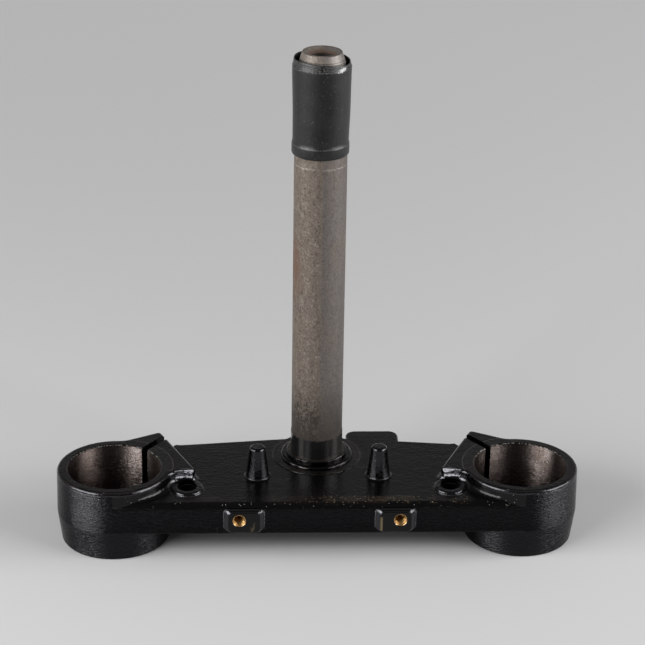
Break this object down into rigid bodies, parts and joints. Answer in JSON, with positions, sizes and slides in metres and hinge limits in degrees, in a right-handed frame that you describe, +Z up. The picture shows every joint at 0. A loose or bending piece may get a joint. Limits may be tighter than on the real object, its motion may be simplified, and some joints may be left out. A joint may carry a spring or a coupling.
{
  "type": "motorcycle triple clamp",
  "caption": "Black lower triple clamp with split fork clamps, stop pegs and tapped front lugs, and a tall bare steel steering stem with a soft sleeve over its thread.",
  "frame": {"origin": "on the steering axis, in the plane where the lower bearing seats on the yoke", "axes": "+Z up the steering axis, +Y to the rear, +X to the right seen from in front of the forks; the fork axes lie ahead of the stem at -Y"},
  "size_m": [0.2536, 0.0787, 0.2382],
  "materials": {
    "black_paint": "gloss black over a forged surface, worn along the edges",
    "bare_steel": "bare turned steel with a brown patina",
    "sleeve_rubber": "matt black, dusty"
  },
  "bodies": {
    "root": {"yoke": "black_paint", "steering_stem": "bare_steel", "thread_sleeve": "sleeve_rubber"}
  },
  "joints": []
}
